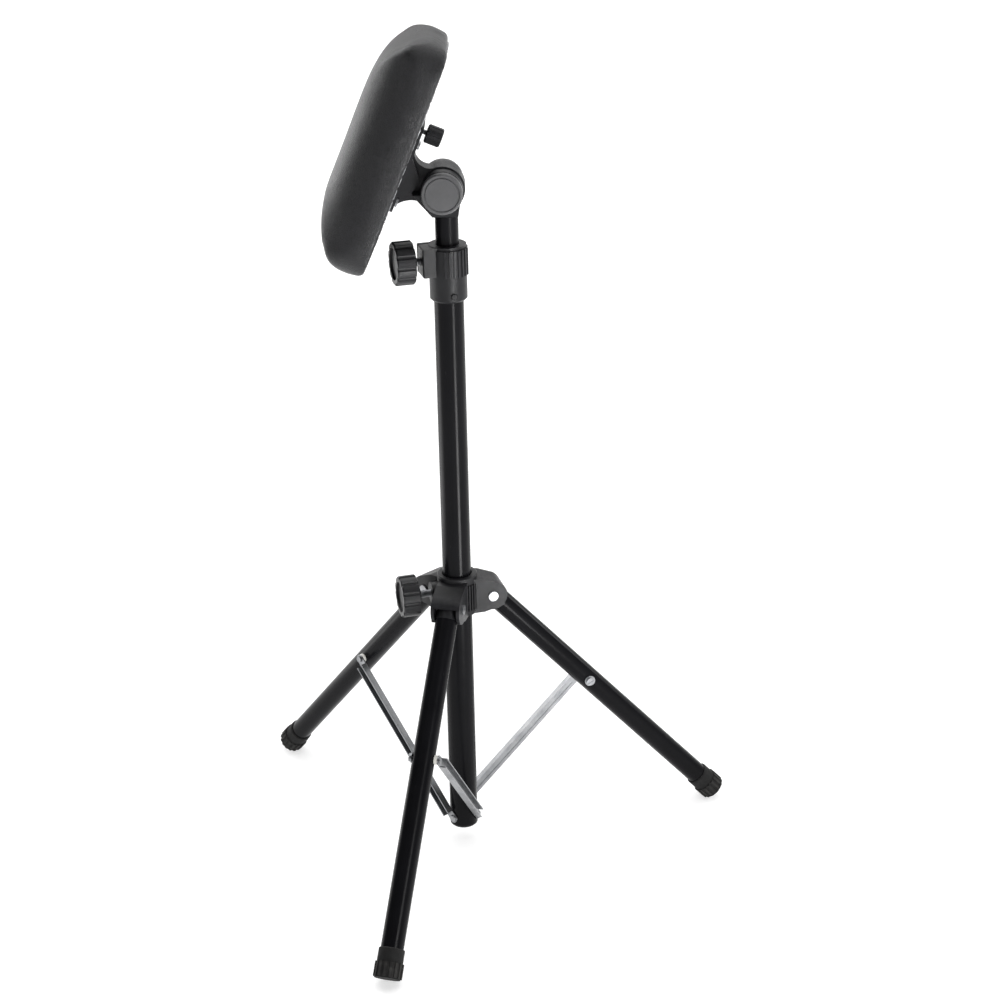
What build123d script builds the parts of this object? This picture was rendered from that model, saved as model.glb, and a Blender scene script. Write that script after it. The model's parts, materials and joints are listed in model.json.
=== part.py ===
"""Portable arm-rest stand: a padded tilting rest on a telescopic post and a folding tripod.

Frame: millimetres, +Z up, origin on the column's axis at floor level. The pad tilts about
an axis along Y. The legs, hub and braces are shown open, the post near its lowest setting.
"""
import os
from math import atan2, cos, degrees, hypot, radians, sin

from build123d import *

# ---------------------------------------------------------------- driving dimensions
MAIN_R = 14.3            # column tube, 1 1/8 inch outside diameter
POST_R = 11.1            # telescopic post, 7/8 inch outside diameter
LEG_R = 11.1             # leg tube, 7/8 inch outside diameter
WALL = 1.2               # wall of every tube
FIT = 0.08               # radial clearance of a running fit
GAP = 0.35               # clearance between pieces that move past each other

TUBE_BOTTOM_Z = 18.5     # lower end of the column tube
TUBE_TOP_Z = 617.0       # upper end of the column tube, inside the height collar
POST_BOTTOM_Z = 226.0    # lower end of the post
POST_TOP_Z = 675.0       # upper end of the post, under the tilt head

LEG_AZIMUTHS = {"right": 15.2, "rear": 135.2, "front": 255.2}
PIVOT_R = 33.3           # leg pivot from the column's axis
PIVOT_Z = 279.3          # leg pivot above the floor
LEG_ANGLE = 42.03        # open leg, from the vertical
LEG_LENGTH = 365.6       # from the pivot to the end of the rubber foot
BRACE_PIN_S = 152.8      # brace pin along the leg, from the pivot
BRACE_FOOT_Z = 26.0      # brace pin on the column tube, above the floor
KNOB_AZIMUTH = 195.2     # both clamp knobs point between the rear and the front leg
PLUG_LENGTH = 13.0       # leg plug between the pivot and the end of the leg tube
FOOT_LENGTH = 28.5       # rubber foot along the leg
FOOT_SKIRT = 15.0        # toothed part of the rubber foot
PIVOT_PIN_R = 3.0

BRACE_HALF = 4.8         # half width of the brace's channel
BRACE_SHEET = 1.2        # its steel sheet
BRACE_DEPTH = 7.0        # depth of its flanges
BRACE_INSIDE = MAIN_R + GAP
BRACE_FLAT = 7.0         # bare web past each pin
BRACE_SCREW_R = 2.3
BRACE_RIVET_R = 2.2
BRACE_RIVET_HOLE_R = 2.4

HUB_R = 20.0             # hub ring
HUB_BOTTOM_Z = 263.0
HUB_TOP_Z = 304.0
HUB_KNOB_Z = 285.0
HUB_BOSS_R = 11.0
HUB_BOSS_FACE = 27.5     # face of the hub's boss from the column's axis
HUB_KNOB_FACE = 42.0     # back of the hub's knob from the column's axis
ARM_HALF = 14.6          # half width of a hub fork

COLLAR_BOTTOM_Z = 590.5
COLLAR_CLAMP_Z = 616.0
COLLAR_TOP_Z = 645.0
COLLAR_R = 18.0
COLLAR_KNOB_Z = 630.0
BOSS_FACE = 27.0         # face of the collar's boss from the column's axis
COLLAR_KNOB_FACE = 34.5  # back of the collar's knob from the column's axis
COLLAR_RIVET_R = 1.6

KNOB_RADIUS = 21.0       # both clamp knobs
KNOB_HUB = 3.0           # boss on the back of a knob
STUD_R = 3.9             # clamp stud and its seat in the knob
STUD_HOLE_R = 4.3
STUD_SEAT = 11.0         # stud inside the knob, past the knob's boss
NUT_R = 7.2              # corners of a clamp's nut
NUT_THICKNESS = 6.0
NUT_PLAY = 0.1           # between a nut and its pocket
BRAKE_PAD_LENGTH = 3.2   # brake pad outside the tube it holds
BRAKE_PAD_R = 4.1

HINGE_X = -3.0           # tilt hinge, from the column's axis
HINGE_Z = 700.0
TILT = 67.3              # pad's length above the horizontal
HEAD_HALF = 23.0         # half width of the tilt head's fork
LUG_HALF = 9.6           # half width of the pad bracket's lug
HINGE_R = 4.0            # tilt bolt
LUG_R = 21.4             # pad bracket's round lug
CAP_R = 19.4             # cover over each end of the bolt
CAP_DEPTH = 7.5
HEAD_PIN_R = 1.75        # cross pin between the tilt head and the post
HEAD_SHANK = 64.0        # tilt head inside the post
HEAD_PIN_DEPTH = 32.0    # cross pin below the end of the post

PAD_LOW = -101.0         # pad's lower end, along the pad from the hinge
PAD_HIGH = 130.0         # pad's upper end
PAD_WIDTH = 120.0
PAD_UNDERSIDE = 41.5     # underside of the pad from the hinge
PAD_THICKNESS = 59.0     # with its board
BOARD_THICKNESS = 12.0
BOARD_CORNER = 22.0      # corner radius of the board's recess
BOARD_MARGIN = 13.0      # from the pad's edge to the board's recess
BOARD_PLAY = 0.2         # round the board in its recess
CLOTH = 0.8              # cloth under the board
FLANGE = 4.5             # thickness of the bracket's flange
FLANGE_LOW = -34.0       # flange's lower end, along the pad from the hinge
FLANGE_HIGH = 53.0       # flange's upper end
FLANGE_WIDTH = 62.0
SCREW_CENTRE = 5.0       # middle of the four screws, along the pad from the hinge
SCREW_PITCH = (58.0, 46.0)
WOOD_SCREW_R = 2.0
KNOB_ALONG = 42.0        # pad's hand screw, along the pad from the hinge
HAND_SCREW_R = 2.5
INSERT_R = 4.6           # threaded insert for the hand screw

# ---------------------------------------------------------------- directions and planes
HINGE = Vector(HINGE_X, 0, HINGE_Z)
PAD_ALONG = Vector(cos(radians(TILT)), 0, sin(radians(TILT)))
PAD_OUT = Vector(-sin(radians(TILT)), 0, cos(radians(TILT)))
PAD_SIDE = Plane(origin=HINGE, x_dir=PAD_ALONG, z_dir=(0, -1, 0))
PAD_BASE = Plane(origin=HINGE, x_dir=PAD_ALONG, z_dir=PAD_OUT)
HEAD_SIDE = Plane(origin=HINGE, x_dir=(1, 0, 0), z_dir=(0, -1, 0))


def outward(azimuth):
    """Horizontal direction at an azimuth, counter-clockwise from +X."""
    return Vector(cos(radians(azimuth)), sin(radians(azimuth)), 0)


def sideways(azimuth):
    """Horizontal direction a quarter turn counter-clockwise of an azimuth."""
    return outward(azimuth + 90)


def radial_plane(azimuth, height, distance=0.0):
    """Plane that faces outward at an azimuth, with its own Y axis up."""
    way = outward(azimuth)
    return Plane(origin=way * distance + Vector(0, 0, height), x_dir=sideways(azimuth), z_dir=way)


def leg_pivot(azimuth):
    return outward(azimuth) * PIVOT_R + Vector(0, 0, PIVOT_Z)


def leg_side(azimuth, lateral=0.0):
    """Vertical plane of a leg at its pivot: X outward, Y up, normal clockwise."""
    origin = leg_pivot(azimuth) + sideways(azimuth) * lateral
    return Plane(origin=origin, x_dir=outward(azimuth), z_dir=-sideways(azimuth))


def leg_along(azimuth, distance=0.0):
    """Plane across a leg at a distance from its pivot, facing down the leg."""
    way = outward(azimuth) * sin(radians(LEG_ANGLE)) - Vector(0, 0, cos(radians(LEG_ANGLE)))
    return Plane(origin=leg_pivot(azimuth) + way * distance, x_dir=sideways(azimuth), z_dir=way)


def save(builder, name):
    """Label a finished piece and write it as its own STEP file."""
    builder.part.label = name
    export_step(builder.part, f"parts/{name}.step")


def plane_axis(plane):
    return Axis(plane.origin, plane.z_dir)


# ---------------------------------------------------------------- column
def column_tube():
    """Column tube with a rivet hole for each brace near its lower end."""
    with BuildPart() as piece:
        with BuildSketch(Plane.XY.offset(TUBE_BOTTOM_Z)):
            Circle(MAIN_R)
            Circle(MAIN_R - WALL, mode=Mode.SUBTRACT)
        extrude(amount=TUBE_TOP_Z - TUBE_BOTTOM_Z)
        for azimuth in LEG_AZIMUTHS.values():
            with BuildSketch(radial_plane(azimuth + 90, BRACE_FOOT_Z, 5)):
                Circle(BRACE_RIVET_HOLE_R)
            extrude(amount=MAIN_R, mode=Mode.SUBTRACT)
        with BuildSketch(rivet_plane()):
            Circle(COLLAR_RIVET_R)
        extrude(amount=COLLAR_R, mode=Mode.SUBTRACT)
    return piece


def column_plug():
    """Domed plastic plug in the lower end of the column tube."""
    rim = 3.0
    depth = 20.0
    with BuildPart() as piece:
        with BuildSketch(Plane.XY.offset(TUBE_BOTTOM_Z - rim)):
            Circle(MAIN_R)
        extrude(amount=rim)
        chamfer(piece.edges().group_by(Axis.Z)[0], rim / 2)
        with BuildSketch(Plane.XY.offset(TUBE_BOTTOM_Z)):
            Circle(MAIN_R - WALL)
        extrude(amount=depth)
        with BuildSketch(Plane.XY.offset(TUBE_BOTTOM_Z + rim)):
            Circle(MAIN_R - WALL - 2.5)
        extrude(amount=depth - rim, mode=Mode.SUBTRACT)
        for azimuth in LEG_AZIMUTHS.values():
            with BuildSketch(radial_plane(azimuth + 90, BRACE_FOOT_Z, 5)):
                Circle(BRACE_RIVET_HOLE_R)
            extrude(amount=MAIN_R, mode=Mode.SUBTRACT)
    return piece


def height_collar():
    """Moulded collar: sleeve on the column tube, ribbed clamp block and split boss for the knob."""
    ribs = 7
    with BuildPart() as piece:
        with BuildSketch(Plane.XY.offset(COLLAR_BOTTOM_Z)):
            Circle(COLLAR_R)
        extrude(amount=COLLAR_TOP_Z - COLLAR_BOTTOM_Z)
        chamfer(piece.edges().group_by(Axis.Z)[0], 2.0)
        with BuildSketch(Plane.XY.offset(COLLAR_CLAMP_Z)):
            Circle(COLLAR_R + 1.2)
            for step in range(ribs):
                with Locations(Rot(0, 0, -95 + 13 * step)):
                    with Locations((COLLAR_R + 0.6, 0)):
                        Rectangle(3.2, 2.0)
        extrude(amount=COLLAR_TOP_Z - COLLAR_CLAMP_Z - 3)
        with BuildSketch(radial_plane(KNOB_AZIMUTH, COLLAR_KNOB_Z + 0.5)):
            Rectangle(25, 28)
        extrude(amount=BOSS_FACE)
        fillet(piece.faces().sort_by(radial_axis(COLLAR_KNOB_Z))[-1].edges(), 1.5)
        with BuildSketch(radial_plane(KNOB_AZIMUTH, COLLAR_KNOB_Z, POST_R + 3)):
            with Locations((-8.0, 0)):
                Rectangle(2.2, 40)
        extrude(amount=30, mode=Mode.SUBTRACT)
        with BuildSketch(radial_plane(KNOB_AZIMUTH, COLLAR_KNOB_Z)):
            Circle(STUD_HOLE_R)
        extrude(amount=BOSS_FACE + 2, mode=Mode.SUBTRACT)
        with BuildSketch(radial_plane(KNOB_AZIMUTH, COLLAR_KNOB_Z, 17.0)):
            RegularPolygon(NUT_R + NUT_PLAY, 6)
        extrude(amount=NUT_THICKNESS + 0.6, mode=Mode.SUBTRACT)
        with BuildSketch(Plane.XY.offset(COLLAR_BOTTOM_Z)):
            Circle(MAIN_R)
        extrude(amount=TUBE_TOP_Z - COLLAR_BOTTOM_Z, mode=Mode.SUBTRACT)
        with BuildSketch(Plane.XY.offset(COLLAR_BOTTOM_Z)):
            Circle(POST_R + FIT)
        extrude(amount=COLLAR_TOP_Z, mode=Mode.SUBTRACT)
        with BuildSketch(rivet_plane()):
            Circle(COLLAR_RIVET_R)
        extrude(amount=COLLAR_R, mode=Mode.SUBTRACT)
    return piece


def rivet_plane(distance=0.0):
    """Plane across the sleeve's rivet, in front of the column near the sleeve's lower end."""
    return radial_plane(-72, COLLAR_BOTTOM_Z + 7, distance)


def radial_axis(height):
    return Axis((0, 0, height), outward(KNOB_AZIMUTH))


def clamp_nut(height, distance):
    """Hexagonal insert nut for a clamp screw."""
    with BuildPart() as piece:
        with BuildSketch(radial_plane(KNOB_AZIMUTH, height, distance)):
            RegularPolygon(NUT_R, 6)
            Circle(STUD_R + 0.1, mode=Mode.SUBTRACT)
        extrude(amount=NUT_THICKNESS)
    return piece


def brake_pad(height, tube_radius):
    """Nylon pad between the tip of a clamp screw and the tube it holds."""
    with BuildPart() as piece:
        with BuildSketch(radial_plane(KNOB_AZIMUTH, height)):
            Circle(BRAKE_PAD_R)
        extrude(amount=tube_radius + BRAKE_PAD_LENGTH)
        with BuildSketch(Plane.XY.offset(height - 10)):
            Circle(tube_radius + FIT)
        extrude(amount=20, mode=Mode.SUBTRACT)
    return piece


def collar_rivet():
    """Blind rivet that fixes the collar's sleeve to the column tube."""
    head_r = 3.2
    with BuildPart() as piece:
        with BuildSketch(rivet_plane(MAIN_R - WALL)):
            Circle(COLLAR_RIVET_R)
        extrude(amount=COLLAR_R - MAIN_R + WALL + 0.3)
        with BuildSketch(rivet_plane(COLLAR_R)):
            Circle(head_r)
        extrude(amount=1.1)
        fillet(piece.edges().filter_by(GeomType.CIRCLE).sort_by(plane_axis(rivet_plane()))[-1], 0.7)
    return piece


# ---------------------------------------------------------------- clamp knobs
def fluted_knob(height, distance, radius, thickness):
    """Moulded hand knob with a dished face and rounded flutes round its rim."""
    flutes = 12
    with BuildPart() as piece:
        with BuildSketch(radial_plane(KNOB_AZIMUTH, height, distance)):
            Circle(radius)
            with PolarLocations(radius + 1.1, flutes):
                Circle(2.5, mode=Mode.SUBTRACT)
        extrude(amount=thickness)
        way = radial_axis(height)
        chamfer(piece.faces().sort_by(way)[-1].edges(), 1.2)
        chamfer(piece.faces().sort_by(way)[0].edges(), 0.8)
        with BuildSketch(radial_plane(KNOB_AZIMUTH, height, distance + thickness)):
            Circle(radius - 5.5)
        extrude(amount=-2.4, taper=12, mode=Mode.SUBTRACT)
        with BuildSketch(radial_plane(KNOB_AZIMUTH, height, distance - KNOB_HUB)):
            Circle(7.5)
        extrude(amount=KNOB_HUB)
        with BuildSketch(radial_plane(KNOB_AZIMUTH, height, distance - KNOB_HUB)):
            Circle(STUD_R)
        extrude(amount=STUD_SEAT + KNOB_HUB, mode=Mode.SUBTRACT)
    return piece


def clamp_stud(height, tip, knob_back):
    """Threaded stud moulded into a clamp knob, drawn as a plain rod."""
    with BuildPart() as piece:
        with BuildSketch(radial_plane(KNOB_AZIMUTH, height, tip)):
            Circle(STUD_R)
        extrude(amount=knob_back + STUD_SEAT - KNOB_HUB - tip)
        chamfer(piece.faces().sort_by(radial_axis(height))[0].edges(), 0.8)
    return piece


def stud_tip(tube_radius):
    """Tip of a clamp stud from the column's axis, just clear of its brake pad."""
    return tube_radius + BRAKE_PAD_LENGTH + GAP


# ---------------------------------------------------------------- tripod hub
def hub_spider():
    """Moulded hub: ring on the column, a hooded fork for each leg and a boss for the knob."""
    cheek = LEG_R + GAP
    hood = (cheek * cos(radians(48)), cheek * sin(radians(48)))
    arm = [(-24, 21), (-9, 19.5), (6, 13.5), (14, 4), (12, -11), (-9, -16.3), (-24, -16.3)]
    slot = [(-cheek, 0), (-cheek, -40), (60, -40), (60, -20), hood]
    ribs = 6
    with BuildPart() as piece:
        with BuildSketch(Plane.XY.offset(HUB_BOTTOM_Z)):
            Circle(HUB_R)
        extrude(amount=HUB_TOP_Z - HUB_BOTTOM_Z)
        for azimuth in LEG_AZIMUTHS.values():
            with BuildSketch(leg_side(azimuth)):
                Circle(14.8)
                with BuildLine():
                    Polyline(*arm, close=True)
                make_face()
            extrude(amount=ARM_HALF, both=True)
        with BuildSketch(radial_plane(KNOB_AZIMUTH, HUB_KNOB_Z)):
            Circle(HUB_BOSS_R)
        extrude(amount=HUB_BOSS_FACE)
        for step in range(ribs):
            with BuildSketch(Plane.XY.offset(HUB_BOTTOM_Z + 5)):
                with Locations(Rot(0, 0, -72 + 9 * step)):
                    with Locations((HUB_R + 0.4, 0)):
                        Rectangle(2.4, 1.6)
            extrude(amount=28)
        for azimuth in LEG_AZIMUTHS.values():
            with BuildSketch(leg_side(azimuth)):
                Circle(cheek)
                with BuildLine():
                    Polyline(*slot, close=True)
                make_face()
            extrude(amount=cheek, both=True, mode=Mode.SUBTRACT)
            with BuildSketch(leg_side(azimuth)):
                Circle(PIVOT_PIN_R)
            extrude(amount=20, both=True, mode=Mode.SUBTRACT)
        with BuildSketch(Plane.XY.offset(HUB_BOTTOM_Z)):
            Circle(MAIN_R + 2.4)
        extrude(amount=HUB_TOP_Z - HUB_BOTTOM_Z)
        with BuildSketch(radial_plane(KNOB_AZIMUTH, HUB_KNOB_Z)):
            Circle(STUD_HOLE_R)
        extrude(amount=30, mode=Mode.SUBTRACT)
        with BuildSketch(radial_plane(KNOB_AZIMUTH, HUB_KNOB_Z, 19.6)):
            RegularPolygon(NUT_R + NUT_PLAY, 6)
        extrude(amount=NUT_THICKNESS + 0.4, mode=Mode.SUBTRACT)
        with BuildSketch(Plane.XY.offset(HUB_BOTTOM_Z)):
            Circle(MAIN_R + FIT)
        extrude(amount=HUB_TOP_Z, mode=Mode.SUBTRACT)
        chamfer(piece.faces().sort_by(Axis.Z)[-1].edges(), 0.8)
    return piece


def leg_pivot_pins():
    """Three rivets, each through a fork of the hub and the plug of a leg."""
    head_r = 5.0
    head = 1.6
    with BuildPart() as piece:
        for azimuth in LEG_AZIMUTHS.values():
            with BuildSketch(leg_side(azimuth)):
                Circle(PIVOT_PIN_R)
            extrude(amount=ARM_HALF, both=True)
            for side in (-1, 1):
                with BuildSketch(leg_side(azimuth, side * ARM_HALF)):
                    Circle(head_r)
                extrude(amount=-side * head)
    return piece


# ---------------------------------------------------------------- legs
def leg_tube(azimuth):
    """Leg tube from just below its pivot down into the rubber foot, drilled for the brace screw."""
    with BuildPart() as piece:
        with BuildSketch(leg_along(azimuth, PLUG_LENGTH)):
            Circle(LEG_R)
            Circle(LEG_R - WALL, mode=Mode.SUBTRACT)
        extrude(amount=LEG_LENGTH - PLUG_LENGTH - 4.0)
        with BuildSketch(leg_side(azimuth)):
            with Locations(leg_point(BRACE_PIN_S)):
                Circle(2.5)
        extrude(amount=20, both=True, mode=Mode.SUBTRACT)
    return piece


def leg_point(distance):
    """Point on a leg's axis in the leg's own side plane."""
    return (distance * sin(radians(LEG_ANGLE)), -distance * cos(radians(LEG_ANGLE)))


def leg_top_plug(azimuth):
    """Plug in the top of a leg, rounded about the pivot, with the pivot's bore."""
    with BuildPart() as piece:
        with BuildSketch(leg_along(azimuth)):
            Circle(LEG_R)
        extrude(amount=PLUG_LENGTH)
        with BuildSketch(leg_along(azimuth, PLUG_LENGTH)):
            Circle(LEG_R - WALL)
        extrude(amount=22.0)
        with Locations(leg_along(azimuth)):
            Sphere(LEG_R)
        with BuildSketch(leg_side(azimuth)):
            Circle(PIVOT_PIN_R + FIT)
        extrude(amount=20, both=True, mode=Mode.SUBTRACT)
    return piece


def foot_cap(azimuth):
    """Rubber foot over a leg's end: smooth collar, toothed skirt and a small flat on the floor."""
    teeth = 16
    with BuildPart() as piece:
        with BuildSketch(leg_along(azimuth, LEG_LENGTH - FOOT_LENGTH)):
            Circle(12.6)
        extrude(amount=FOOT_LENGTH)
        chamfer(piece.edges().sort_by(plane_axis(leg_along(azimuth)))[0], 0.8)
        with BuildSketch(leg_along(azimuth, LEG_LENGTH - FOOT_SKIRT)):
            Circle(13.0)
            with PolarLocations(12.9, teeth):
                Rectangle(2.0, 2.5)
        extrude(amount=FOOT_SKIRT - 1.0)
        with BuildSketch(leg_along(azimuth, LEG_LENGTH - FOOT_LENGTH)):
            Circle(LEG_R)
        extrude(amount=FOOT_LENGTH - 4.0, mode=Mode.SUBTRACT)
        with BuildSketch(Plane.XY):
            with Locations(tuple(outward(azimuth) * 276)[:2]):
                Circle(60)
        extrude(amount=-30, mode=Mode.SUBTRACT)
    return piece


def brace_screw(azimuth):
    """Screw across a leg: washer and slotted head on one side, riveted end past the brace."""
    point = leg_point(BRACE_PIN_S)
    washer = 1.2
    head = 2.2
    slot = 0.7
    with BuildPart() as piece:
        with BuildSketch(leg_side(azimuth)):
            with Locations(point):
                Circle(BRACE_SCREW_R)
        extrude(amount=LEG_R + 0.8)
        with BuildSketch(leg_side(azimuth, -LEG_R)):
            with Locations(point):
                Circle(5.4)
        extrude(amount=washer)
        with BuildSketch(leg_side(azimuth, -(LEG_R + washer))):
            with Locations(point):
                Circle(4.2)
        extrude(amount=head)
        with BuildSketch(leg_side(azimuth, -(LEG_R + washer + head - slot))):
            with Locations(point):
                Rectangle(9, 1.1, rotation=35)
        extrude(amount=3, mode=Mode.SUBTRACT)
        with BuildSketch(leg_side(azimuth)):
            with Locations(point):
                Circle(BRACE_SCREW_R)
        extrude(amount=-(MAIN_R + 2.2))
        with BuildSketch(leg_side(azimuth, MAIN_R + 2.0)):
            with Locations(point):
                Circle(3.1)
        extrude(amount=-1.3)
    return piece


def brace_spacer(azimuth):
    """Plastic spacer that keeps a brace clear of its leg."""
    with BuildPart() as piece:
        with BuildSketch(leg_side(azimuth, LEG_R)):
            with Locations(leg_point(BRACE_PIN_S)):
                Circle(4.6)
                Circle(BRACE_SCREW_R, mode=Mode.SUBTRACT)
        extrude(amount=-(MAIN_R - LEG_R))
    return piece


# ---------------------------------------------------------------- braces
def brace_geometry():
    """Upper and lower pin of a brace in its leg's side plane, with its length and slope."""
    upper = leg_point(BRACE_PIN_S)
    lower = (-PIVOT_R, BRACE_FOOT_Z - PIVOT_Z)
    run = (upper[0] - lower[0], upper[1] - lower[1])
    return upper, lower, hypot(*run), degrees(atan2(run[1], run[0]))


def brace(azimuth):
    """Pressed steel channel, web against the leg, with a round-ended web at both pins."""
    upper, lower, length, slope = brace_geometry()
    middle = ((upper[0] + lower[0]) / 2, (upper[1] + lower[1]) / 2)
    with BuildPart() as piece:
        with BuildSketch(leg_side(azimuth, BRACE_INSIDE)):
            with Locations(middle):
                SlotCenterToCenter(length, 2 * BRACE_HALF, rotation=slope)
        extrude(amount=-BRACE_DEPTH)
        with BuildSketch(leg_side(azimuth, BRACE_INSIDE + BRACE_SHEET)):
            with Locations(middle):
                Rectangle(length + 30, 2 * (BRACE_HALF - BRACE_SHEET), rotation=slope)
        extrude(amount=-BRACE_DEPTH, mode=Mode.SUBTRACT)
        for end in (upper, lower):
            with BuildSketch(leg_side(azimuth, BRACE_INSIDE + BRACE_SHEET)):
                with Locations(end):
                    Rectangle(2 * BRACE_FLAT, 2 * BRACE_HALF + 2, rotation=slope)
            extrude(amount=-BRACE_DEPTH, mode=Mode.SUBTRACT)
        with BuildSketch(leg_side(azimuth, BRACE_INSIDE)):
            with Locations(middle):
                SlotCenterToCenter(length - 34, 2.6, rotation=slope)
        extrude(amount=-0.5, mode=Mode.SUBTRACT)
        with BuildSketch(leg_side(azimuth)):
            with Locations(upper):
                Circle(BRACE_SCREW_R + FIT)
            with Locations(lower):
                Circle(BRACE_RIVET_R)
        extrude(amount=-40, mode=Mode.SUBTRACT)
    return piece


def brace_rivet(azimuth):
    """Rivet at a brace's lower end. Its shank stops short of the column tube: the open pivot."""
    lower = brace_geometry()[1]
    with BuildPart() as piece:
        with BuildSketch(leg_side(azimuth, BRACE_INSIDE)):
            with Locations(lower):
                Circle(BRACE_RIVET_R)
        extrude(amount=-BRACE_SHEET)
        with BuildSketch(leg_side(azimuth, BRACE_INSIDE + BRACE_SHEET)):
            with Locations(lower):
                Circle(3.9)
        extrude(amount=-1.7)
        far = Axis(leg_side(azimuth).origin, sideways(azimuth))
        fillet(piece.edges().filter_by(GeomType.CIRCLE).sort_by(far)[-1], 1.0)
    return piece


# ---------------------------------------------------------------- post and tilt head
def post_bush():
    """Split nylon bush that guides the foot of the post inside the column tube."""
    under = 0.3
    floor = 2.2
    with BuildPart() as piece:
        with BuildSketch(Plane.XY.offset(POST_BOTTOM_Z - under - floor)):
            Circle(MAIN_R - WALL - FIT)
            Circle(6.0, mode=Mode.SUBTRACT)
        extrude(amount=floor)
        with BuildSketch(Plane.XY.offset(POST_BOTTOM_Z - under)):
            Circle(MAIN_R - WALL - FIT)
            Circle(POST_R + FIT, mode=Mode.SUBTRACT)
        extrude(amount=42)
        with BuildSketch(Plane.XZ.offset(-20)):
            with Locations((0, POST_BOTTOM_Z + 30)):
                Rectangle(2.4, 40)
        extrude(amount=20, mode=Mode.SUBTRACT)
    return piece


def post_plug():
    """Plastic plug pressed into the foot of the post."""
    length = 14.0
    skin = 2.0
    with BuildPart() as piece:
        with BuildSketch(Plane.XY.offset(POST_BOTTOM_Z)):
            Circle(POST_R - WALL)
        extrude(amount=length)
        with BuildSketch(Plane.XY.offset(POST_BOTTOM_Z + skin)):
            Circle(POST_R - WALL - skin)
        extrude(amount=length - skin, mode=Mode.SUBTRACT)
    return piece


def tilt_head():
    """Moulded fork on top of the post, flared on one side into the pad's stop."""
    shank_z = POST_TOP_Z - HEAD_SHANK
    flare = [(-28, -2), (-9.6, -23.5), (14.5, -23.5), (17.5, -6), (0, 0)]
    opening = [(-45, 45), (-45, -17), (-13, -17.5), (0, 0), (13, -17.5), (45, -17), (45, 45)]
    with BuildPart() as piece:
        with BuildSketch(HEAD_SIDE):
            Circle(19.8)
            with BuildLine():
                Polyline(*flare, close=True)
            make_face()
        extrude(amount=HEAD_HALF, both=True)
        chamfer(piece.faces().filter_by(Axis.Y).edges(), 0.8)
        with BuildSketch(Plane.XY.offset(POST_TOP_Z)):
            Circle(POST_R)
        extrude(amount=HINGE_Z - 14 - POST_TOP_Z)
        with BuildSketch(Plane.XY.offset(shank_z)):
            Circle(POST_R - WALL)
        extrude(amount=POST_TOP_Z - shank_z)
        with BuildSketch(HEAD_SIDE):
            Circle(22.2)
            with BuildLine():
                Polyline(*opening, close=True)
            make_face()
        extrude(amount=LUG_HALF + GAP, both=True, mode=Mode.SUBTRACT)
        with BuildSketch(HEAD_SIDE):
            Circle(HINGE_R)
        extrude(amount=40, both=True, mode=Mode.SUBTRACT)
        with BuildSketch(head_pin_plane()):
            Circle(HEAD_PIN_R)
        extrude(amount=30, both=True, mode=Mode.SUBTRACT)
    return piece


def head_pin_plane():
    """Plane through the column's axis, across the pin that fixes the head in the post."""
    return Plane(origin=(0, 0, POST_TOP_Z - HEAD_PIN_DEPTH), x_dir=(1, 0, 0), z_dir=(0, -1, 0))


def post_tube():
    """Telescopic post, drilled for the head's cross pin."""
    with BuildPart() as piece:
        with BuildSketch(Plane.XY.offset(POST_BOTTOM_Z)):
            Circle(POST_R)
            Circle(POST_R - WALL, mode=Mode.SUBTRACT)
        extrude(amount=POST_TOP_Z - POST_BOTTOM_Z)
        with BuildSketch(head_pin_plane()):
            Circle(HEAD_PIN_R)
        extrude(amount=30, both=True, mode=Mode.SUBTRACT)
    return piece


def head_pin():
    """Cross pin that fixes the tilt head to the post."""
    with BuildPart() as piece:
        with BuildSketch(head_pin_plane()):
            Circle(HEAD_PIN_R)
        extrude(amount=POST_R - 0.4, both=True)
    return piece


def tilt_bolt():
    """Tilt hinge bolt with a low round head."""
    with BuildPart() as piece:
        with BuildSketch(HEAD_SIDE.offset(-HEAD_HALF - 5)):
            Circle(HINGE_R)
        extrude(amount=2 * HEAD_HALF + 5)
        with BuildSketch(HEAD_SIDE.offset(HEAD_HALF)):
            Circle(9.0)
        extrude(amount=2.6)
    return piece


def tilt_nut():
    """Lock nut on the tilt bolt."""
    with BuildPart() as piece:
        with BuildSketch(HEAD_SIDE.offset(-HEAD_HALF - 6)):
            RegularPolygon(7.4, 6)
            Circle(HINGE_R, mode=Mode.SUBTRACT)
        extrude(amount=6)
    return piece


def pivot_cap(side):
    """Round cover over one end of the tilt bolt, with a raised rim and a dished centre."""
    with BuildPart() as piece:
        with BuildSketch(HEAD_SIDE.offset(side * HEAD_HALF)):
            Circle(CAP_R)
        extrude(amount=side * CAP_DEPTH)
        way = Axis(HINGE, (0, -side, 0))
        fillet(piece.faces().sort_by(way)[-1].edges(), 1.6)
        with BuildSketch(HEAD_SIDE.offset(side * (HEAD_HALF + CAP_DEPTH))):
            Circle(16.6)
            Circle(15.2, mode=Mode.SUBTRACT)
        extrude(amount=-side * 1.0, mode=Mode.SUBTRACT)
        with BuildSketch(HEAD_SIDE.offset(side * HEAD_HALF)):
            Circle(CAP_R - 2.4)
        extrude(amount=side * (CAP_DEPTH - WALL), mode=Mode.SUBTRACT)
    return piece


def friction_washers():
    """Two friction washers, one each side of the bracket's lug."""
    play = 0.05
    with BuildPart() as piece:
        for side in (-1, 1):
            with BuildSketch(HEAD_SIDE.offset(side * (LUG_HALF + play))):
                Circle(15)
                Circle(HINGE_R, mode=Mode.SUBTRACT)
            extrude(amount=side * (GAP - play))
    return piece


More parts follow.
